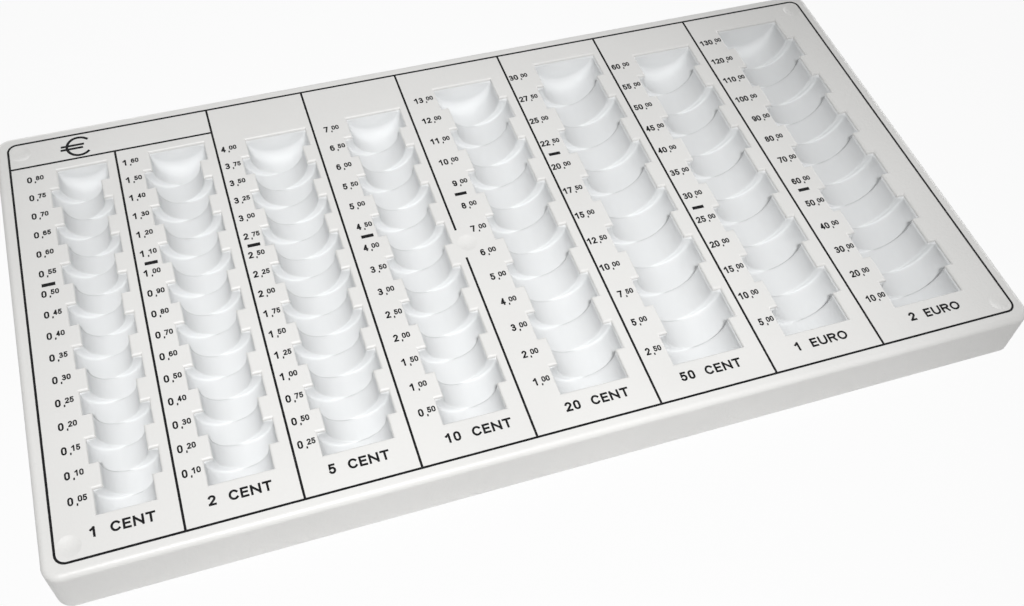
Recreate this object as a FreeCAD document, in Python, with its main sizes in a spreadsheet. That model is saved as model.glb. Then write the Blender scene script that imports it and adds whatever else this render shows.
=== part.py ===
import FreeCAD, Part
import Sketcher
import math
import os

# A manual coin counting tray: a moulded deck on a skirt, eight coin channels that hang from the deck,
# and the black legend that is printed on it. Millimetres. X runs along the row of channels, Y from the
# front to the back, Z up. The origin is the middle of the skirt's foot.

os.makedirs("parts", exist_ok=True)
doc = FreeCAD.newDocument("CoinCountingTray")

# Driving dimensions

sheet = doc.addObject("Spreadsheet::Sheet", "Dims")
SIZES = {
    # the moulding
    "tray_width": 176.0,
    "tray_height": 18.5,
    "corner_radius": 5.5,
    "rim_radius": 2.0,
    "skirt_wall": 1.2,
    "deck_thickness": 1.2,
    "channel_wall": 1.2,
    "mouth_radius": 0.8,
    # what every channel shares
    "coins_per_section": 5,
    "section_shift": 2.9,
    "coin_play": 0.7,
    "front_margin": 17.2,
    "right_margin": 15.025,
    # shallow round dimples
    "dimple_radius": 3.5,
    "dimple_depth": 0.7,
    "dimple_inset_x": 8.5,
    "dimple_inset_y": 9.3,
    "middle_dimple_from_line": 2.15,
    "middle_dimple_y": -3.8,
    # the printed legend
    "ink_thickness": 0.06,
    "line_width": 0.75,
    "frame_inset": 4.4,
    "frame_corner_radius": 3.2,
    "header_depth": 12.0,
    "line_gap": 12.6,
    "mark_length": 4.3,
    "mark_width": 1.35,
    "mark_step": 1.0,
}

# One row per channel, left to right: coin diameter, coin thickness, slack along one section, number of
# sections, sections in one coin roll, band of plain deck on the channel's left where its values are
# printed, and gap from the roll mark to the channel
CHANNEL_COLUMNS = ("diameter", "thickness", "slack", "sections", "roll_sections", "band", "mark_gap")
CHANNELS = {
    "one_cent": (16.25, 1.67, 0.32, 16, 10, 16.925, 2.6),
    "two_cent": (18.75, 1.67, 0.32, 16, 10, 12.1, 1.5),
    "five_cent": (21.25, 1.67, 0.14, 16, 10, 11.85, 1.7),
    "ten_cent": (19.75, 1.93, 0.12, 14, 8, 12.9, 1.6),
    "twenty_cent": (22.25, 2.14, 0.31, 13, 8, 15.2, 3.5),
    "fifty_cent": (24.25, 2.38, 0.29, 12, 8, 13.2, 3.5),
    "one_euro": (23.25, 2.33, 0.10, 12, 5, 12.65, 3.2),
    "two_euro": (25.75, 2.20, 0.21, 13, 5, 14.85, 3.6),
}
for channel, row in CHANNELS.items():
    for column, value in zip(CHANNEL_COLUMNS, row):
        SIZES[f"{channel}_{column}"] = value

# Gaps from each channel to the middle of the printed line on its right
DIVIDER_GAPS = (3.525, 3.625, 2.525, 2.875, 3.425, 2.975, 3.125)
for number, gap in enumerate(DIVIDER_GAPS, start=1):
    SIZES[f"divider_{number}_gap"] = gap

for row_number, (alias, value) in enumerate(SIZES.items(), start=1):
    sheet.set(f"A{row_number}", alias)
    sheet.set(f"B{row_number}", str(value))
    sheet.setAlias(f"B{row_number}", alias)
doc.recompute()


NEAR = 1e-6


def size(alias):
    return float(sheet.get(alias))


def radius_of(channel):
    return f"(Dims.{channel}_diameter + Dims.coin_play) / 2"


def pitch_of(channel):
    return f"(Dims.coins_per_section * Dims.{channel}_thickness + Dims.{channel}_slack)"


# The channels stand in a row from the tray's left edge: a band, a channel, the next band and so on. The
# row sets the tray's length, and its middle is the origin of X
walls_from_edge = {}
row_end = "0"
for channel in CHANNELS:
    left_wall = f"{row_end} + Dims.{channel}_band"
    row_end = f"{left_wall} + 2 * {radius_of(channel)} + Dims.section_shift"
    walls_from_edge[channel] = (left_wall, row_end)
TRAY_LENGTH = f"({row_end} + Dims.right_margin)"
LEFT_WALLS = {c: f"({left} - {TRAY_LENGTH} / 2)" for c, (left, right) in walls_from_edge.items()}
RIGHT_WALLS = {c: f"({right} - {TRAY_LENGTH} / 2)" for c, (left, right) in walls_from_edge.items()}
DIVIDERS = [f"({wall} + Dims.divider_{number}_gap)"
            for number, wall in enumerate(list(RIGHT_WALLS.values())[:-1], start=1)]
HEADER_DIVIDER, SPLIT_DIVIDER = 2, 4

CHANNEL_FRONT = "(Dims.front_margin - Dims.tray_width / 2)"
DECK_UNDERSIDE = "(Dims.tray_height - Dims.deck_thickness)"


# Helpers: bodies, sketches with bound constraints, pads and pockets

def new_body(label):
    body = doc.addObject("PartDesign::Body", label)
    body.Label = label
    return body


def base_plane(body):
    return next(f for f in body.Origin.OriginFeatures if f.Role == "XY_Plane")


def new_sketch(body, name):
    """A sketch on the body's own XY plane."""
    sketch = body.newObject("Sketcher::SketchObject", name)
    sketch.AttachmentSupport = [(base_plane(body), "")]
    sketch.MapMode = "FlatFace"
    return sketch


def bind(sketch, constraint, expression):
    """Add a dimension and tie it to an expression."""
    index = sketch.addConstraint(constraint)
    sketch.setExpression(f"Constraints[{index}]", expression)


def value_of(expression):
    """The present value of an expression of the sheet, as a start for the sketch solver."""
    return float(sheet.evalExpression(expression.replace("Dims.", "")))


def draw_rectangle(sketch, left, right, front, back):
    """A rectangle between four expressions, measured from the sketch's own origin."""
    x0, x1, y0, y1 = (value_of(e) for e in (left, right, front, back))
    corners = [FreeCAD.Vector(*p, 0) for p in ((x0, y0), (x1, y0), (x1, y1), (x0, y1))]
    first = sketch.GeometryCount
    for k in range(4):
        sketch.addGeometry(Part.LineSegment(corners[k], corners[(k + 1) % 4]))
    for k in range(4):
        sketch.addConstraint(Sketcher.Constraint("Coincident", first + k, 2, first + (k + 1) % 4, 1))
        direction = "Horizontal" if k % 2 == 0 else "Vertical"
        sketch.addConstraint(Sketcher.Constraint(direction, first + k))
    bind(sketch, Sketcher.Constraint("DistanceX", -1, 1, first, 1, x0), left)
    bind(sketch, Sketcher.Constraint("DistanceX", -1, 1, first, 2, x1), right)
    bind(sketch, Sketcher.Constraint("DistanceY", -1, 1, first, 1, y0), front)
    bind(sketch, Sketcher.Constraint("DistanceY", -1, 1, first + 2, 1, y1), back)


def draw_rounded_rectangle(sketch, length, width, radius):
    """A rectangle with round corners, centred on the sketch's origin."""
    half_x, half_y, r = value_of(length) / 2, value_of(width) / 2, value_of(radius)
    centres = ((half_x - r, half_y - r), (r - half_x, half_y - r), (r - half_x, r - half_y),
               (half_x - r, r - half_y))
    first = sketch.GeometryCount
    up = FreeCAD.Vector(0, 0, 1)
    for quarter, (cx, cy) in enumerate(centres):
        circle = Part.Circle(FreeCAD.Vector(cx, cy, 0), up, r)
        start = quarter * math.pi / 2
        sketch.addGeometry(Part.ArcOfCircle(circle, start, start + math.pi / 2))
    for quarter in range(4):
        a = sketch.Geometry[first + quarter].EndPoint
        b = sketch.Geometry[first + (quarter + 1) % 4].StartPoint
        sketch.addGeometry(Part.LineSegment(a, b))
    for quarter in range(4):
        arc, line, next_arc = first + quarter, first + 4 + quarter, first + (quarter + 1) % 4
        sketch.addConstraint(Sketcher.Constraint("Tangent", arc, 2, line, 1))
        sketch.addConstraint(Sketcher.Constraint("Tangent", line, 2, next_arc, 1))
        direction = "Horizontal" if quarter % 2 == 0 else "Vertical"
        sketch.addConstraint(Sketcher.Constraint(direction, line))
        if quarter:
            sketch.addConstraint(Sketcher.Constraint("Equal", first, arc))
    top, left, bottom, right = (first + 4 + quarter for quarter in range(4))
    sketch.addConstraint(Sketcher.Constraint("Symmetric", top, 1, bottom, 1, -1, 1))
    bind(sketch, Sketcher.Constraint("Radius", first, r), radius)
    bind(sketch, Sketcher.Constraint("DistanceX", left, 1, right, 1, 2 * half_x), length)
    bind(sketch, Sketcher.Constraint("DistanceY", bottom, 1, top, 1, 2 * half_y), width)


def extrude(body, kind, name, sketch, length, reversed_way):
    feature = body.newObject(f"PartDesign::{kind}", name)
    feature.Profile = sketch
    feature.Reversed = reversed_way
    feature.setExpression("Length", length)
    doc.recompute()
    return feature


def fillet_where(body, name, radius, wanted):
    """Round every edge of the body's latest shape for which wanted(edge) is true."""
    doc.recompute()
    base = body.Tip
    edges = [f"Edge{k}" for k, e in enumerate(base.Shape.Edges, start=1) if wanted(e)]
    feature = body.newObject("PartDesign::Fillet", name)
    feature.Base = (base, edges)
    feature.setExpression("Radius", radius)
    body.Tip = feature
    doc.recompute()
    return feature


# The deck with its rim and skirt, before the channels are opened

blank = new_body("deck_blank")
outline = new_sketch(blank, "deck_outline")
draw_rounded_rectangle(outline, TRAY_LENGTH, "Dims.tray_width", "Dims.corner_radius")
extrude(blank, "Pad", "deck_block", outline, "Dims.tray_height", False)
top = size("tray_height")
fillet_where(blank, "deck_rim", "Dims.rim_radius", lambda e: e.BoundBox.ZMin > top - NEAR)

hollow_outline = new_sketch(blank, "hollow_outline")
draw_rounded_rectangle(hollow_outline, f"{TRAY_LENGTH} - 2 * Dims.skirt_wall",
                       "Dims.tray_width - 2 * Dims.skirt_wall", "Dims.corner_radius - Dims.skirt_wall")
extrude(blank, "Pocket", "deck_hollow", hollow_outline, DECK_UNDERSIDE, True)
underside = top - size("deck_thickness")
fillet_where(blank, "deck_inner_rim", "Dims.rim_radius - Dims.skirt_wall",
             lambda e: abs(e.BoundBox.ZMin - underside) < NEAR and abs(e.BoundBox.ZMax - underside) < NEAR)

middle_x = f"({TRAY_LENGTH} / 2 - Dims.dimple_inset_x)"
middle_y = "(Dims.tray_width / 2 - Dims.dimple_inset_y)"
DIMPLES = {
    "front_left": (f"-{middle_x}", f"-{middle_y}"),
    "front_right": (middle_x, f"-{middle_y}"),
    "back_left": (f"-{middle_x}", middle_y),
    "back_right": (middle_x, middle_y),
    "middle": (f"{DIVIDERS[SPLIT_DIVIDER - 1]} + Dims.middle_dimple_from_line", "Dims.middle_dimple_y"),
}
ball_radius = "((Dims.dimple_radius ^ 2 + Dims.dimple_depth ^ 2) / (2 * Dims.dimple_depth))"
for name, (x, y) in DIMPLES.items():
    ball = blank.newObject("PartDesign::SubtractiveSphere", f"{name}_dimple")
    ball.AttachmentSupport = [(base_plane(blank), "")]
    ball.MapMode = "FlatFace"
    ball.setExpression("Radius", ball_radius)
    ball.setExpression("AttachmentOffset.Base.x", x)
    ball.setExpression("AttachmentOffset.Base.y", y)
    ball.setExpression("AttachmentOffset.Base.z", f"Dims.tray_height - Dims.dimple_depth + {ball_radius}")
    blank.Tip = ball
    doc.recompute()


# The sections of a channel: odd ones are shifted to the left, even ones to the right

def channel_radius(channel):
    return (size(f"{channel}_diameter") + size("coin_play")) / 2


def section_pitch(channel):
    return size("coins_per_section") * size(f"{channel}_thickness") + size(f"{channel}_slack")


def channel_place(channel):
    """The middle of the channel's front end, on the underside of the deck."""
    middle = (value_of(LEFT_WALLS[channel]) + value_of(RIGHT_WALLS[channel])) / 2
    return FreeCAD.Vector(middle, value_of(CHANNEL_FRONT), underside)


def section_places(channel):
    """The middle along X and the front end along Y of every section, seen from the channel's own middle."""
    half_shift = size("section_shift") / 2
    pitch = section_pitch(channel)
    count = round(size(f"{channel}_sections"))
    return [(half_shift if k % 2 else -half_shift, k * pitch) for k in range(count)]


def joined(solids):
    return solids[0].fuse(solids[1:]).removeSplitter()


# The mouths: each opening's upper edge is rounded, so the tool that cuts it flares at the top

def mouth_tool(channel):
    radius, pitch, thickness = channel_radius(channel), section_pitch(channel), size("deck_thickness")
    opening = joined([Part.makeBox(2 * radius, pitch, thickness, FreeCAD.Vector(x - radius, y, 0))
                      for x, y in section_places(channel)])
    lip = 2 * size("mouth_radius")
    box = opening.BoundBox
    slab = Part.makeBox(box.XLength + 2 * lip, box.YLength + 2 * lip, thickness,
                        FreeCAD.Vector(box.XMin - lip, box.YMin - lip, 0))
    frame = slab.cut(opening)
    rim = [e for e in frame.Edges if e.BoundBox.ZMin > thickness - NEAR
           and e.BoundBox.XMin > box.XMin - NEAR and e.BoundBox.XMax < box.XMax + NEAR
           and e.BoundBox.YMin > box.YMin - NEAR and e.BoundBox.YMax < box.YMax + NEAR]
    tool = slab.cut(frame.makeFillet(size("mouth_radius"), rim))
    tool.translate(channel_place(channel))
    return tool


deck = doc.addObject("Part::Feature", "deck_and_skirt")
deck.Shape = blank.Shape.cut([mouth_tool(channel) for channel in CHANNELS])
pieces = [deck]


# The eight coin channels: half-round troughs whose axis lies at the underside of the deck

NODE_NAMES = {
    "one_cent": "channel_1_cent",
    "two_cent": "channel_2_cent",
    "five_cent": "channel_5_cent",
    "ten_cent": "channel_10_cent",
    "twenty_cent": "channel_20_cent",
    "fifty_cent": "channel_50_cent",
    "one_euro": "channel_1_euro",
    "two_euro": "channel_2_euro",
}


def half_round(x, y, radius, length):
    """A half cylinder that lies along Y with its flat side up."""
    left, right = FreeCAD.Vector(x - radius, y, 0), FreeCAD.Vector(x + radius, y, 0)
    lowest = FreeCAD.Vector(x, y, -radius)
    profile = Part.Wire([Part.Arc(left, lowest, right).toShape(), Part.makeLine(right, left)])
    return Part.Face(profile).extrude(FreeCAD.Vector(0, length, 0))


for channel, node in NODE_NAMES.items():
    radius, pitch, wall = channel_radius(channel), section_pitch(channel), size("channel_wall")
    places = section_places(channel)
    outside = joined([half_round(x, y - wall, radius + wall, pitch + 2 * wall) for x, y in places])
    inside = joined([half_round(x, y, radius, pitch) for x, y in places])
    trough = doc.addObject("Part::Feature", node)
    trough.Shape = outside.cut(inside)
    trough.Placement.Base = channel_place(channel)
    pieces.append(trough)


# The printed legend: thin ink on the deck

def ink_body(label):
    body = new_body(label)
    body.setExpression("Placement.Base.z", "Dims.tray_height")
    pieces.append(body)
    return body


def print_ink(body, sketch):
    return extrude(body, "Pad", f"{body.Label}_ink", sketch, "Dims.ink_thickness", False)


frame_length = f"({TRAY_LENGTH} - 2 * Dims.frame_inset)"
frame_width = "(Dims.tray_width - 2 * Dims.frame_inset)"
printed_frame = ink_body("printed_frame")
ring = new_sketch(printed_frame, "printed_frame_outline")
for sign in ("+", "-"):
    draw_rounded_rectangle(ring, f"{frame_length} {sign} Dims.line_width",
                           f"{frame_width} {sign} Dims.line_width",
                           f"Dims.frame_corner_radius {sign} Dims.line_width / 2")
print_ink(printed_frame, ring)

# lines end where the ink of the line that they meet begins
half_line = "Dims.line_width / 2"
inner_left = f"-{frame_length} / 2 + {half_line}"
inner_front = f"-{frame_width} / 2 + {half_line}"
inner_back = f"{frame_width} / 2 - {half_line}"
header_middle = f"({frame_width} / 2 - Dims.header_depth)"
header_rule = ink_body("printed_header_rule")
rule = new_sketch(header_rule, "printed_header_rule_outline")
draw_rectangle(rule, inner_left, f"{DIVIDERS[HEADER_DIVIDER - 1]} - {half_line}",
               f"{header_middle} - {half_line}", f"{header_middle} + {half_line}")
print_ink(header_rule, rule)

for number, middle in enumerate(DIVIDERS, start=1):
    line_back = f"{header_middle} - {half_line}" if number < HEADER_DIVIDER else inner_back
    stretches = [(inner_front, line_back)]
    if number == SPLIT_DIVIDER:
        gap = ("Dims.middle_dimple_y - Dims.line_gap / 2", "Dims.middle_dimple_y + Dims.line_gap / 2")
        stretches = [(inner_front, gap[0]), (gap[1], line_back)]
    for place, (front, back) in zip(("front", "back"), stretches):
        label = f"printed_divider_{number}" if len(stretches) == 1 else f"printed_divider_{number}_{place}"
        divider = ink_body(label)
        line = new_sketch(divider, f"{label}_outline")
        draw_rectangle(line, f"{middle} - {half_line}", f"{middle} + {half_line}", front, back)
        print_ink(divider, line)

# a short bar beside each channel shows where one full coin roll ends
for channel, node in NODE_NAMES.items():
    mark = ink_body(node.replace("channel", "roll_mark"))
    bar = new_sketch(mark, f"{channel}_roll_mark_outline")
    right_end = f"{LEFT_WALLS[channel]} - Dims.{channel}_mark_gap"
    along = f"{CHANNEL_FRONT} + Dims.{channel}_roll_sections * {pitch_of(channel)} + Dims.mark_step"
    draw_rectangle(bar, f"{right_end} - Dims.mark_length", right_end,
                   f"{along} - Dims.mark_width / 2", f"{along} + Dims.mark_width / 2")
    print_ink(mark, bar)


# Check every object and write each piece

doc.recompute()
for thing in doc.Objects:
    if "Invalid" in thing.State or "Error" in thing.State:
        raise RuntimeError(f"{thing.Label} did not build: {thing.State}")

for piece in pieces:
    if piece.Shape.isNull() or not piece.Shape.isValid():
        raise RuntimeError(f"{piece.Label} has no valid shape")
for piece in pieces:
    box = piece.Shape.BoundBox
    print(f"{piece.Label}: {len(piece.Shape.Solids)} solid, {piece.Shape.Volume:.1f} mm3, "
          f"Z {box.ZMin:.2f} to {box.ZMax:.2f}")
    piece.Shape.exportStep(f"parts/{piece.Label}.step")
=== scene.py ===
import bmesh
import bpy
import math
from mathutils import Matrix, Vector


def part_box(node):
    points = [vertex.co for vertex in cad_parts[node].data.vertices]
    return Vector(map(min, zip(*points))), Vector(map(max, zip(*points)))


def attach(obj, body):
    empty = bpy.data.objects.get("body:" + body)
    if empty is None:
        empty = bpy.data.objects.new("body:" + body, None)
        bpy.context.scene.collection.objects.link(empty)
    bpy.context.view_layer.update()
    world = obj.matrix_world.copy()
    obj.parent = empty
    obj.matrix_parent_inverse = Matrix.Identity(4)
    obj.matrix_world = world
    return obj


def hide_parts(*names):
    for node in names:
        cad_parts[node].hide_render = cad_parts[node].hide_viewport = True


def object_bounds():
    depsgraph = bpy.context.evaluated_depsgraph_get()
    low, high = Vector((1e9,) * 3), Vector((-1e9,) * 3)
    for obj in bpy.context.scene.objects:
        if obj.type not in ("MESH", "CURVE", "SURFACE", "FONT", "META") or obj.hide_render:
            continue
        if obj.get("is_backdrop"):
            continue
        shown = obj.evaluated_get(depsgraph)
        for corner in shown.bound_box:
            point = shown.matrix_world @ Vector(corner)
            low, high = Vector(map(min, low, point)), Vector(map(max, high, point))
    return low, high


# Places are in metres, as in the frame. Values whose names end in _MM are millimetres, and MM turns
# them into metres.

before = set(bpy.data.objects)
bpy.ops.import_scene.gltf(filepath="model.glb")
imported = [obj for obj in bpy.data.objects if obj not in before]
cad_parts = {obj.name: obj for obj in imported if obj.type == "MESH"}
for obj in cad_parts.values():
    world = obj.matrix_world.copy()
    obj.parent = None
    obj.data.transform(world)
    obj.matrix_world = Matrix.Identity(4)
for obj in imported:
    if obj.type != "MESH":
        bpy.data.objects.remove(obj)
MM = 0.001
cad_low, cad_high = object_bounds()


# The view: a camera in front of the tray, a little left of its middle, that looks down on it at arm's
# length.

camera_data = bpy.data.cameras.new("camera")
camera_data.lens = 40.96
camera_data.sensor_width = 36.0
camera_data.clip_start = 0.01
camera = bpy.data.objects.new("camera", camera_data)
camera.location = (-0.09653, -0.24635, 0.32906)
camera.rotation_euler = [math.radians(angle) for angle in (36.606, -3.145, -18.600)]
bpy.context.scene.collection.objects.link(camera)
bpy.context.scene.camera = camera


# The room: a counter that looks white, under one soft lamp. The lamp stands behind the viewer, and its light
# fades towards the tray's right and back edges. Two weak lamps low behind the tray fill the sides that the
# first one misses.

KEY_WATTS = 36.8
KEY_CONE_DEGREES = 38.0
KEY_RADIUS = 0.06
FILL_WATTS = 2.5
FILL_SIDE = 0.5


def lamp(name, kind, place, aim, power):
    """A lamp that shines from its place towards a point."""
    light = bpy.data.lights.new(name, kind)
    light.energy = power
    thing = bpy.data.objects.new(name, light)
    thing.location = place
    thing.rotation_euler = (Vector(aim) - Vector(place)).to_track_quat("-Z", "Y").to_euler()
    bpy.context.scene.collection.objects.link(thing)
    return light


key_light = lamp("key_lamp", "SPOT", (-0.10, -0.48, 0.83), (-0.030, -0.048, 0.0), KEY_WATTS)
key_light.spot_size = math.radians(KEY_CONE_DEGREES)
key_light.spot_blend = 1.0
key_light.shadow_soft_size = KEY_RADIUS
for name, place in (("right_fill", (0.85, 0.40, 0.20)), ("back_fill", (-0.35, 0.90, 0.20))):
    fill_light = lamp(name, "AREA", place, (0.0, 0.0, 0.0), FILL_WATTS)
    fill_light.size = FILL_SIDE


def seen(nodes, links):
    """1 for the rays that look at a thing or mirror it, and 0 for the rays that it lights."""
    path = nodes.new("ShaderNodeLightPath").outputs
    total = path["Is Camera Ray"]
    for ray in ("Is Glossy Ray", "Is Transmission Ray"):
        add = nodes.new("ShaderNodeMath")
        add.use_clamp = True
        links.new(total, add.inputs[0])
        links.new(path[ray], add.inputs[1])
        total = add.outputs[0]
    return total


# the surround is white where it is looked at or mirrored, and lights the tray only weakly
WORLD_LIGHT = 0.10
world = bpy.data.worlds.new("surround")
world.use_nodes = True
world_nodes, world_links = world.node_tree.nodes, world.node_tree.links
brightness = world_nodes.new("ShaderNodeMath")
brightness.operation = "MAXIMUM"
brightness.inputs[1].default_value = WORLD_LIGHT
world_links.new(seen(world_nodes, world_links), brightness.inputs[0])
world_nodes["Background"].inputs["Color"].default_value = (1.0, 1.0, 1.0, 1.0)
world_links.new(brightness.outputs[0], world_nodes["Background"].inputs["Strength"])
bpy.context.scene.world = world
bpy.context.scene.view_settings.view_transform = "Standard"

COUNTER_SIDE = 6.0
COUNTER_GREY = 0.6
COUNTER_GLOW = 0.93
bpy.ops.mesh.primitive_plane_add(size=COUNTER_SIDE, location=(0.0, 0.0, cad_low.z))
floor = bpy.context.object
floor.name = "counter"
floor_paint = bpy.data.materials.new("counter_paint")
floor_paint.use_nodes = True
floor_nodes, floor_links = floor_paint.node_tree.nodes, floor_paint.node_tree.links
floor_shader = floor_nodes["Principled BSDF"]
floor_shader.inputs["Base Color"].default_value = (COUNTER_GREY, COUNTER_GREY, COUNTER_GREY, 1.0)
floor_shader.inputs["Roughness"].default_value = 0.9
# looked at, the counter glows nearly white and keeps a faint shadow; the light that it gives back is dull
share = floor_nodes.new("ShaderNodeMath")
share.operation = "MULTIPLY"
share.inputs[1].default_value = COUNTER_GLOW
floor_mix = floor_nodes.new("ShaderNodeMixShader")
floor_links.new(seen(floor_nodes, floor_links), share.inputs[0])
floor_links.new(share.outputs[0], floor_mix.inputs["Fac"])
floor_links.new(floor_shader.outputs[0], floor_mix.inputs[1])
floor_links.new(floor_nodes.new("ShaderNodeEmission").outputs[0], floor_mix.inputs[2])
floor_links.new(floor_mix.outputs[0], floor_nodes["Material Output"].inputs["Surface"])
floor.data.materials.append(floor_paint)
floor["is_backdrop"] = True


# The moulding's deck, rim and skirt: white polystyrene with a fine spark-eroded grain from the mould. The
# grain is a bump from coarse to fine, and the colour drifts a little in clouds, as handling leaves it.

GRAIN_SIZE_MM = 1.1
GRAIN_HEIGHT_MM = 0.10
GRAIN_OCTAVES = 5.0
GRAIN_ROUGHNESS = 0.6
CLOUDS_PER_METRE = 22.0
CLOUD_OCTAVES = 4.0
CLOUD_RANGE = (0.35, 0.65)


def plastic(name, colour, roughness, shine, grain_height_mm, drift):
    """White plastic with a moulded grain, from noise on the piece's own coordinates. Its shine is how much
    it mirrors, and its drift is the share of its colour that it loses in places."""
    material = bpy.data.materials.new(name)
    material.use_nodes = True
    nodes, links = material.node_tree.nodes, material.node_tree.links
    shader = nodes["Principled BSDF"]
    shader.inputs["Roughness"].default_value = roughness
    shader.inputs["Specular IOR Level"].default_value = shine
    place = nodes.new("ShaderNodeTexCoord").outputs["Object"]

    grain = nodes.new("ShaderNodeTexNoise")
    grain.inputs["Scale"].default_value = 1.0 / (GRAIN_SIZE_MM * MM)
    grain.inputs["Detail"].default_value = GRAIN_OCTAVES
    grain.inputs["Roughness"].default_value = GRAIN_ROUGHNESS
    links.new(place, grain.inputs["Vector"])
    bump = nodes.new("ShaderNodeBump")
    bump.inputs["Strength"].default_value = 1.0
    bump.inputs["Distance"].default_value = grain_height_mm * MM
    links.new(grain.outputs["Fac"], bump.inputs["Height"])
    links.new(bump.outputs["Normal"], shader.inputs["Normal"])

    clouds = nodes.new("ShaderNodeTexNoise")
    clouds.inputs["Scale"].default_value = CLOUDS_PER_METRE
    clouds.inputs["Detail"].default_value = CLOUD_OCTAVES
    links.new(place, clouds.inputs["Vector"])
    tone = nodes.new("ShaderNodeValToRGB")
    dull = [part * (1.0 - drift) for part in colour]
    for stop, position, shade in zip(tone.color_ramp.elements, CLOUD_RANGE, (dull, colour)):
        stop.position = position
        stop.color = (*shade, 1.0)
    links.new(clouds.outputs["Fac"], tone.inputs["Fac"])
    links.new(tone.outputs["Color"], shader.inputs["Base Color"])
    return material


DECK_COLOUR = (0.76, 0.755, 0.74)
DECK_ROUGHNESS = 0.42
DECK_SHINE = 0.5
DECK_DRIFT = 0.04
deck_plastic = plastic("grained_white_plastic", DECK_COLOUR, DECK_ROUGHNESS, DECK_SHINE,
                       GRAIN_HEIGHT_MM, DECK_DRIFT)
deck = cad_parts["deck_and_skirt"]
deck.data.materials.clear()
deck.data.materials.append(deck_plastic)


# The coin channels: half-round troughs in the same moulding, stepped sideways after every five coins so
# that a full row can be counted at a glance. Their inside comes from a polished core, so it is smoother.

CHANNEL_WALL_MM = 1.2
STEP_WIDTH_MM = 0.55
END_FILLET_MM = 4.5
STEPS_PER_SECTION = 16
STEPS_AROUND = 32
# how far the rows of the mesh crowd at the steps: 0 is evenly spaced, and at 1 they would meet
CROWDING = 0.97
# the end rounding keeps at least this share of its size up to the mouth
LEAST_ROUNDING = 0.05
WELD_MM = 0.001

CHANNEL_COLOUR = (0.735, 0.745, 0.75)
CHANNEL_ROUGHNESS = 0.6
CHANNEL_SHINE = 0.2
CHANNEL_GRAIN_HEIGHT_MM = 0.015
CHANNEL_DRIFT = 0.03
channel_plastic = plastic("smooth_white_plastic", CHANNEL_COLOUR, CHANNEL_ROUGHNESS, CHANNEL_SHINE,
                          CHANNEL_GRAIN_HEIGHT_MM, CHANNEL_DRIFT)


class Number:
    """A number at each point of a mesh, worked out by the Math nodes of one tree."""

    tree = None

    def __init__(self, socket):
        self.socket = socket

    @classmethod
    def of(cls, operation, *values):
        node = cls.tree.nodes.new("ShaderNodeMath")
        node.operation = operation
        for slot, value in zip(node.inputs, values):
            if isinstance(value, Number):
                cls.tree.links.new(value.socket, slot)
            else:
                slot.default_value = value
        return cls(node.outputs[0])

    def __add__(self, other):
        return Number.of("ADD", self, other)

    def __sub__(self, other):
        return Number.of("SUBTRACT", self, other)

    def __rsub__(self, other):
        return Number.of("SUBTRACT", other, self)

    def __mul__(self, other):
        return Number.of("MULTIPLY", self, other)

    def __truediv__(self, other):
        return Number.of("DIVIDE", self, other)

    def least(self, other):
        return Number.of("MINIMUM", self, other)

    def most(self, other):
        return Number.of("MAXIMUM", self, other)

    def eased(self, start, end):
        """0 before start and 1 after end, with a soft ramp between them."""
        part = ((self - start) / (end - start)).most(0.0).least(1.0)
        return part * part * (3.0 - part * 2.0)

    def mixed(self, first, second):
        """first where this is 0, second where this is 1."""
        return first + (second - first) * self


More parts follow.
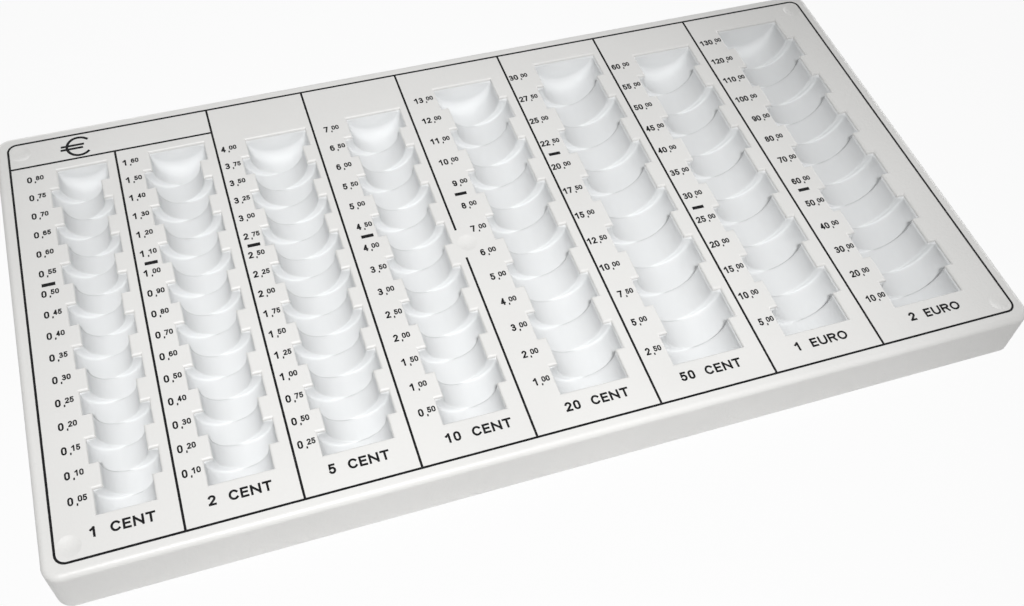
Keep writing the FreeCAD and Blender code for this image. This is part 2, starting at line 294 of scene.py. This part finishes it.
def channel_tree(material):
    """A tree that makes one stepped channel: a closed skin that runs round the inside and the outside of
    the wall, pinched to the axis at both ends."""
    tree = bpy.data.node_groups.new("coin_channel", "GeometryNodeTree")
    for name in ("Radius", "Wall", "Length", "Half shift", "Step width", "End fillet"):
        tree.interface.new_socket(name=name, in_out="INPUT", socket_type="NodeSocketFloat")
    for name in ("Sections", "Steps per section", "Steps around"):
        tree.interface.new_socket(name=name, in_out="INPUT", socket_type="NodeSocketInt")
    tree.interface.new_socket(name="Geometry", in_out="OUTPUT", socket_type="NodeSocketGeometry")
    nodes, links = tree.nodes, tree.links
    given = nodes.new("NodeGroupInput").outputs
    Number.tree = tree
    radius, wall, length = Number(given["Radius"]), Number(given["Wall"]), Number(given["Length"])
    half_shift, step_width = Number(given["Half shift"]), Number(given["Step width"])
    end_fillet, sections = Number(given["End fillet"]), Number(given["Sections"])
    per_section, around = Number(given["Steps per section"]), Number(given["Steps around"])

    # a grid of whole-number places: columns go round the wall, inside and out, and one more closes the
    # ring; rows go along the channel, with one more at each end for the end wall
    columns = around * 2.0 + 3.0
    rows = sections * per_section + 3.0
    grid = nodes.new("GeometryNodeMeshGrid")
    links.new((columns - 1.0).socket, grid.inputs["Size X"])
    links.new((rows - 1.0).socket, grid.inputs["Size Y"])
    links.new(columns.socket, grid.inputs["Vertices X"])
    links.new(rows.socket, grid.inputs["Vertices Y"])
    here = nodes.new("ShaderNodeSeparateXYZ")
    links.new(nodes.new("GeometryNodeInputPosition").outputs[0], here.inputs[0])
    column = Number.of("ROUND", Number(here.outputs["X"]) + (columns - 1.0) * 0.5)
    row = Number.of("ROUND", Number(here.outputs["Y"]) + (rows - 1.0) * 0.5)

    # the first half of the columns is the inside, and the rest comes back along the outside
    column = column - Number.of("FLOOR", column / (columns - 1.0)) * (columns - 1.0)
    outside = Number.of("GREATER_THAN", column, around + 0.5)
    step_around = outside.mixed(column, around * 2.0 + 1.0 - column)
    angle = step_around / around * math.pi
    across, down = Number.of("COSINE", angle), Number.of("SINE", angle)

    # rows crowd together at the steps between the sections
    count = (row - 1.0).most(0.0).least(sections * per_section) / per_section
    whole = Number.of("FLOOR", count)
    part = count - whole
    crowd = Number.of("SINE", part * (2.0 * math.pi)) * (CROWDING / (2.0 * math.pi))
    pitch = length / sections
    along = (whole + part - crowd) * pitch

    # the step at the nearest border between two sections, and the way that it goes
    margin = step_width * 0.5
    held = along.most(margin).least(length - margin)
    border = Number.of("ROUND", held / pitch)
    past = held - border * pitch
    odd = border - Number.of("FLOOR", border * 0.5) * 2.0
    way = odd * 2.0 - 1.0
    sideways = (past.eased(margin * -1.0, margin) * 2.0 - 1.0) * way * half_shift

    # the inside: a half circle, rounded where it meets the end walls
    from_end = along.least(length - along)
    fillet = end_fillet * down.most(LEAST_ROUNDING)
    short = (fillet - from_end).most(0.0)
    bulge = Number.of("SQRT", (fillet * fillet - short * short).most(0.0))
    inner_radius = radius - fillet + bulge
    inner_x = sideways + across * inner_radius
    inner_z = down * inner_radius * -1.0

    # the outside: round each border the wall is as wide as both sections together
    outer_radius = radius + wall
    reach = across * half_shift
    beside = half_shift * half_shift * down * down
    both = Number.of("ABSOLUTE", reach) + Number.of("SQRT", outer_radius * outer_radius - beside)
    near = 1.0 - Number.of("ABSOLUTE", past).eased(wall - margin, wall + margin)
    inner_border = Number.of("GREATER_THAN", border, 0.5) * Number.of("LESS_THAN", border, sections - 0.5)
    near = near * inner_border
    outer_x = near.mixed(sideways + across * outer_radius, across * both)
    outer_z = near.mixed(down * outer_radius, down * both) * -1.0
    thicken = wall * 2.0
    front = (1.0 - along / thicken).most(0.0) * wall
    back = (1.0 - (length - along) / thicken).most(0.0) * wall
    outer_y = along - front + back

    # the first and the last row are pinched to the axis, which closes the end walls
    opened = row.least(rows - 1.0 - row).least(1.0)
    point = nodes.new("ShaderNodeCombineXYZ")
    end_way = sideways * (1.0 - opened)
    links.new((outside.mixed(inner_x, outer_x) * opened + end_way).socket, point.inputs["X"])
    links.new(outside.mixed(along, outer_y).socket, point.inputs["Y"])
    links.new((outside.mixed(inner_z, outer_z) * opened).socket, point.inputs["Z"])
    put = nodes.new("GeometryNodeSetPosition")
    links.new(grid.outputs["Mesh"], put.inputs["Geometry"])
    links.new(point.outputs[0], put.inputs["Position"])

    weld = nodes.new("GeometryNodeMergeByDistance")
    weld.inputs["Distance"].default_value = WELD_MM * MM
    real = nodes.new("GeometryNodeRealizeInstances")
    smooth = nodes.new("GeometryNodeSetShadeSmooth")
    paint = nodes.new("GeometryNodeSetMaterial")
    paint.inputs["Material"].default_value = material
    chain = (put, weld, smooth, real, paint)
    for before, after in zip(chain, chain[1:]):
        links.new(before.outputs[0], after.inputs[0])
    links.new(paint.outputs[0], nodes.new("NodeGroupOutput").inputs[0])
    return tree


def grown(name, tree, values):
    """A plain mesh object made by a tree with these inputs."""
    seed = bpy.data.objects.new(f"{name}_seed", bpy.data.meshes.new(f"{name}_seed"))
    bpy.context.scene.collection.objects.link(seed)
    modifier = seed.modifiers.new("tree", "NODES")
    modifier.node_group = tree
    for item in tree.interface.items_tree:
        if item.in_out == "INPUT" and item.name in values:
            modifier[item.identifier] = values[item.name]
    seed.update_tag()
    evaluated = seed.evaluated_get(bpy.context.evaluated_depsgraph_get())
    mesh = bpy.data.meshes.new_from_object(evaluated)
    mesh.name = name
    bpy.data.objects.remove(seed)
    thing = bpy.data.objects.new(name, mesh)
    bpy.context.scene.collection.objects.link(thing)
    return thing


def turned_outwards(mesh):
    """Point every face of a closed mesh outwards."""
    work = bmesh.new()
    work.from_mesh(mesh)
    bmesh.ops.recalc_face_normals(work, faces=work.faces)
    work.to_mesh(mesh)
    work.free()


# one row per channel: its node, the worth of one coin in cents, and how many sections it has
CHANNELS = (
    ("channel_1_cent", 1, 16),
    ("channel_2_cent", 2, 16),
    ("channel_5_cent", 5, 16),
    ("channel_10_cent", 10, 14),
    ("channel_20_cent", 20, 13),
    ("channel_50_cent", 50, 12),
    ("channel_1_euro", 100, 12),
    ("channel_2_euro", 200, 13),
)
wall = CHANNEL_WALL_MM * MM
skin = channel_tree(channel_plastic)
channels = {}
for node, worth, sections in CHANNELS:
    low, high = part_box(node)
    radius = high.z - low.z - wall
    length = high.y - low.y - 2.0 * wall
    half_shift = (high.x - low.x) / 2.0 - wall - radius
    middle = (low.x + high.x) / 2.0
    channel = grown(f"{node}_skin", skin, {
        "Radius": radius, "Wall": wall, "Length": length, "Half shift": half_shift,
        "Step width": STEP_WIDTH_MM * MM, "End fillet": END_FILLET_MM * MM,
        "Sections": sections, "Steps per section": STEPS_PER_SECTION, "Steps around": STEPS_AROUND})
    for vertex in channel.data.vertices:
        vertex.co += Vector((middle, low.y + wall, high.z))
    turned_outwards(channel.data)
    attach(channel, "root")
    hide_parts(node)
    left = middle - half_shift - radius
    channels[node] = {"left": left, "front": low.y + wall, "pitch": length / sections, "worth": worth,
                      "sections": sections}


# The printed legend's lines and roll marks: black screen ink, laid down through a mesh, so its surface is
# matt and faintly uneven.

INK_ROUGHNESS = 0.6
INK_SHINE = 0.12
INK_MESH_PER_METRE = 2500.0
INK_BUMP_MM = 0.02
INK_BUMP_STRENGTH = 0.6
INK_DARK, INK_WORN = (0.003, 0.003, 0.0035, 1.0), (0.010, 0.010, 0.011, 1.0)

ink = bpy.data.materials.new("black_screen_ink")
ink.use_nodes = True
ink_nodes, ink_links = ink.node_tree.nodes, ink.node_tree.links
ink_shader = ink_nodes["Principled BSDF"]
ink_shader.inputs["Roughness"].default_value = INK_ROUGHNESS
ink_shader.inputs["Specular IOR Level"].default_value = INK_SHINE
ink_place = ink_nodes.new("ShaderNodeTexCoord").outputs["Object"]
ink_weave = ink_nodes.new("ShaderNodeTexNoise")
ink_weave.inputs["Scale"].default_value = INK_MESH_PER_METRE
ink_links.new(ink_place, ink_weave.inputs["Vector"])
ink_bump = ink_nodes.new("ShaderNodeBump")
ink_bump.inputs["Strength"].default_value = INK_BUMP_STRENGTH
ink_bump.inputs["Distance"].default_value = INK_BUMP_MM * MM
ink_links.new(ink_weave.outputs["Fac"], ink_bump.inputs["Height"])
ink_links.new(ink_bump.outputs["Normal"], ink_shader.inputs["Normal"])
ink_tone = ink_nodes.new("ShaderNodeValToRGB")
ink_tone.color_ramp.elements[0].color = INK_DARK
ink_tone.color_ramp.elements[1].color = INK_WORN
ink_links.new(ink_weave.outputs["Fac"], ink_tone.inputs["Fac"])
ink_links.new(ink_tone.outputs["Color"], ink_shader.inputs["Base Color"])
for name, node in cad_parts.items():
    if name.startswith(("printed", "roll_mark")):
        node.data.materials.clear()
        node.data.materials.append(ink)


# The lettering of the legend: the same ink in a plain sans with strokes of one width and square ends.
# Every letter is drawn in a square of 1 by 1 as strokes, and stretched to its real size.

ARC_STEP_DEGREES = 15.0
# a corner's mitre is cut short past this cosine of half its turn
SHARPEST_MITRE = 0.5
# a stroke is a ring if its ends lie within this share of its width
RING_SHARE = 0.01
# each further stroke of a letter lies this much lower, so that no two tops share a plane where they cross
STROKE_STEP = 0.004 * MM


def arc(cx, cy, rx, ry, start, end):
    """Points along an arc of an ellipse, from one angle to another in degrees."""
    steps = max(2, round(abs(end - start) / ARC_STEP_DEGREES))
    turns = [math.radians(start + (end - start) * k / steps) for k in range(steps + 1)]
    return [(cx + rx * math.cos(turn), cy + ry * math.sin(turn)) for turn in turns]


GLYPHS = {
    "0": [arc(0.5, 0.70, 0.5, 0.30, 0, 180) + arc(0.5, 0.30, 0.5, 0.30, 180, 360) + [(1.0, 0.70)]],
    "1": [[(0.64, 1.0), (0.64, 0.0)], [(0.04, 0.76), (0.58, 0.97)]],
    "2": [arc(0.5, 0.73, 0.48, 0.27, 160, -38) + [(0.13, 0.08)], [(0.0, 0.0), (1.0, 0.0)]],
    "3": [arc(0.46, 0.76, 0.44, 0.24, 150, -70), [(0.4, 0.53)] + arc(0.47, 0.27, 0.5, 0.27, 80, -150)],
    "4": [[(0.72, 1.0), (0.72, 0.0)], [(0.0, 0.26), (1.0, 0.26)], [(0.05, 0.33), (0.62, 0.95)]],
    "5": [[(0.92, 1.0), (0.14, 1.0), (0.08, 0.54)] + arc(0.47, 0.32, 0.5, 0.32, 125, -150)],
    "6": [arc(0.5, 0.31, 0.5, 0.31, 0, 360), [(0.0, 0.31), (0.0, 0.64)] + arc(0.5, 0.68, 0.5, 0.32, 180, 45)],
    "7": [[(0.0, 1.0), (1.0, 1.0)], [(0.92, 0.93), (0.36, 0.0)]],
    "8": [arc(0.5, 0.76, 0.42, 0.24, 0, 360), arc(0.5, 0.27, 0.5, 0.27, 0, 360)],
    "9": [arc(0.5, 0.69, 0.5, 0.31, 0, 360), [(1.0, 0.69), (1.0, 0.36)] + arc(0.5, 0.32, 0.5, 0.32, 0, -135)],
    "C": [arc(0.54, 0.5, 0.54, 0.5, 42, 318)],
    "E": [[(1.0, 1.0), (0.0, 1.0), (0.0, 0.0), (1.0, 0.0)], [(0.0, 0.52), (0.88, 0.52)]],
    "N": [[(0.0, 0.0), (0.0, 1.0)], [(1.0, 0.0), (1.0, 1.0)], [(0.11, 0.84), (0.89, 0.16)]],
    "O": [arc(0.5, 0.5, 0.5, 0.5, 0, 360)],
    "R": [[(0.0, 0.0), (0.0, 1.0), (0.6, 1.0)] + arc(0.6, 0.76, 0.4, 0.24, 75, -90) + [(0.0, 0.52)],
          [(0.62, 0.48), (0.97, 0.03)]],
    "T": [[(0.0, 1.0), (1.0, 1.0)], [(0.5, 0.95), (0.5, 0.0)]],
    "U": [[(0.0, 1.0)] + arc(0.5, 0.34, 0.5, 0.34, 180, 360) + [(1.0, 1.0)]],
    ",": [[(0.6, 0.8), (0.5, 0.1)]],
    "currency": [arc(0.5, 0.5, 0.5, 0.5, 46, 314), [(-0.18, 0.60), (0.66, 0.60)],
                 [(-0.21, 0.42), (0.60, 0.42)]],
}


def stroke(work, points, width, bottom, top):
    """Lay one stroke of ink along the points: a thin slab with square ends, or a ring if it closes."""
    path = [Vector(point) for point in points]
    closed = (path[0] - path[-1]).length < width * RING_SHARE
    if closed:
        path.pop()
        before, after = path[-1:] + path[:-1], path[1:] + path[:1]
    else:
        path[0] += (path[0] - path[1]).normalized() * width / 2.0
        path[-1] += (path[-1] - path[-2]).normalized() * width / 2.0
        before, after = path[:1] + path[:-1], path[1:] + path[-1:]
    rings = []
    for last, here, following in zip(before, path, after):
        along = ((here - last).normalized() + (following - here).normalized()).normalized()
        side = Vector((-along.y, along.x))
        ahead = (following - here) if following != here else (here - last)
        reach = side * width / 2.0 / max(SHARPEST_MITRE, along.dot(ahead.normalized()))
        rings.append([work.verts.new((*(here + reach * way), z))
                      for way, z in ((1, bottom), (-1, bottom), (-1, top), (1, top))])
    for near, far in zip(rings, rings[1:] + rings[:1] if closed else rings[1:]):
        for k in range(4):
            work.faces.new((near[k], near[k - 1], far[k - 1], far[k]))
    if not closed:
        work.faces.new(rings[0])
        work.faces.new(rings[-1])


deck_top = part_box("deck_and_skirt")[1].z


def letter(work, glyph, x, y, width, height, weight):
    """Draw one letter with its lower left corner at x, y; all sizes in metres, stroke weight included."""
    for k, points in enumerate(GLYPHS[glyph]):
        placed = [(x + weight / 2.0 + u * (width - weight), y + weight / 2.0 + v * (height - weight))
                  for u, v in points]
        stroke(work, placed, weight, deck_top, cad_high.z - k * STROKE_STEP)


def printed(name, work):
    """Make the letters drawn so far one printed piece."""
    bmesh.ops.recalc_face_normals(work, faces=work.faces)
    mesh = bpy.data.meshes.new(name)
    work.to_mesh(mesh)
    work.free()
    mesh.materials.append(ink)
    piece = bpy.data.objects.new(name, mesh)
    bpy.context.scene.collection.objects.link(piece)
    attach(piece, "root")


# The values beside the sections: what the coins up to there are worth, printed in the same ink. The whole
# units are large, and the cents after the comma are small and raised.

WHOLE = {"height": 2.80 * MM, "width": 1.64 * MM, "weight": 0.54 * MM, "pitch": 1.82 * MM}
CENTS = {"height": 2.08 * MM, "width": 1.26 * MM, "weight": 0.42 * MM, "pitch": 1.38 * MM}
COMMA = {"height": 0.95 * MM, "width": 0.75 * MM, "weight": 0.45 * MM}
COMMA_DROP = 0.5 * MM
COMMA_SPACE = 1.3 * MM
COMMA_TUCK = 0.1 * MM
COINS_PER_SECTION = 5
# how far the cents end from the channel's left wall, and how far the figures sit behind the section's middle
VALUE_PLACES = {
    "channel_1_cent": (1.75, 1.65),
    "channel_2_cent": (1.15, 1.25),
    "channel_5_cent": (0.95, 1.15),
    "channel_10_cent": (0.85, 0.9),
    "channel_20_cent": (1.5, 0.8),
    "channel_50_cent": (1.6, 0.85),
    "channel_1_euro": (1.0, 1.3),
    "channel_2_euro": (0.9, -0.1),
}
for node, channel in channels.items():
    gap, lift = (value * MM for value in VALUE_PLACES[node])
    work = bmesh.new()
    for section in range(channel["sections"]):
        worth = channel["worth"] * COINS_PER_SECTION * (section + 1)
        whole, cents = str(worth // 100), f"{worth % 100:02d}"
        centre = channel["front"] + (section + 0.5) * channel["pitch"] + lift
        base = centre - WHOLE["height"] / 2.0
        cents_left = channel["left"] - gap - CENTS["pitch"] - CENTS["width"]
        for k, figure in enumerate(cents):
            letter(work, figure, cents_left + k * CENTS["pitch"], base + WHOLE["height"] - CENTS["height"],
                   CENTS["width"], CENTS["height"], CENTS["weight"])
        whole_right = cents_left - COMMA_SPACE
        comma_left = cents_left + COMMA_TUCK - COMMA["width"]
        letter(work, ",", comma_left, base - COMMA_DROP, COMMA["width"], COMMA["height"], COMMA["weight"])
        for k, figure in enumerate(reversed(whole)):
            letter(work, figure, whole_right - WHOLE["width"] - k * WHOLE["pitch"], base,
                   WHOLE["width"], WHOLE["height"], WHOLE["weight"])
    printed(node.replace("channel", "printed_values"), work)


# The captions in front of the channels: the coin's worth and its unit, printed in the same ink in wider
# capitals, all on one line along the front of the frame.

CAPTION_HEIGHT = 3.4 * MM
CAPTION_WEIGHT = 0.69 * MM
CAPTION_GAP = 0.52 * MM
WORD_GAP = 3.7 * MM
CAPTION_BASE_MM = 6.15
LETTER_WIDTHS_MM = {"0": 2.2, "1": 2.1, "2": 2.3, "5": 2.25,
                    "C": 2.9, "E": 2.4, "N": 3.1, "O": 3.45, "R": 2.95, "T": 2.8, "U": 3.1}
# where the caption's first figure starts, from the printed frame's left line
CAPTIONS = (("1", "CENT", 10.45), ("2", "CENT", 43.9), ("5", "CENT", 79.5), ("10", "CENT", 115.8),
            ("20", "CENT", 154.8), ("50", "CENT", 194.3), ("1", "EURO", 235.6), ("2", "EURO", 278.9))
frame_low, frame_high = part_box("printed_frame")
for (figures, unit, start), node in zip(CAPTIONS, channels):
    work = bmesh.new()
    x = frame_low.x + start * MM
    base = frame_low.y + CAPTION_BASE_MM * MM
    for word in (figures, unit):
        for glyph in word:
            width = LETTER_WIDTHS_MM[glyph] * MM
            letter(work, glyph, x, base, width, CAPTION_HEIGHT, CAPTION_WEIGHT)
            x += width + CAPTION_GAP
        x += WORD_GAP - CAPTION_GAP
    printed(node.replace("channel", "printed_caption"), work)


# The currency sign at the left of the header: a round open letter with two long bars, printed in the same
# ink, and nearly three times as high as the captions.

SIGN_LEFT, SIGN_BASE = frame_low.x + 19.8 * MM, frame_high.y - 11.5 * MM
SIGN_WIDTH, SIGN_HEIGHT, SIGN_WEIGHT = 9.4 * MM, 9.8 * MM, 0.95 * MM
work = bmesh.new()
letter(work, "currency", SIGN_LEFT, SIGN_BASE, SIGN_WIDTH, SIGN_HEIGHT, SIGN_WEIGHT)
printed("printed_currency_sign", work)

low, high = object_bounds()
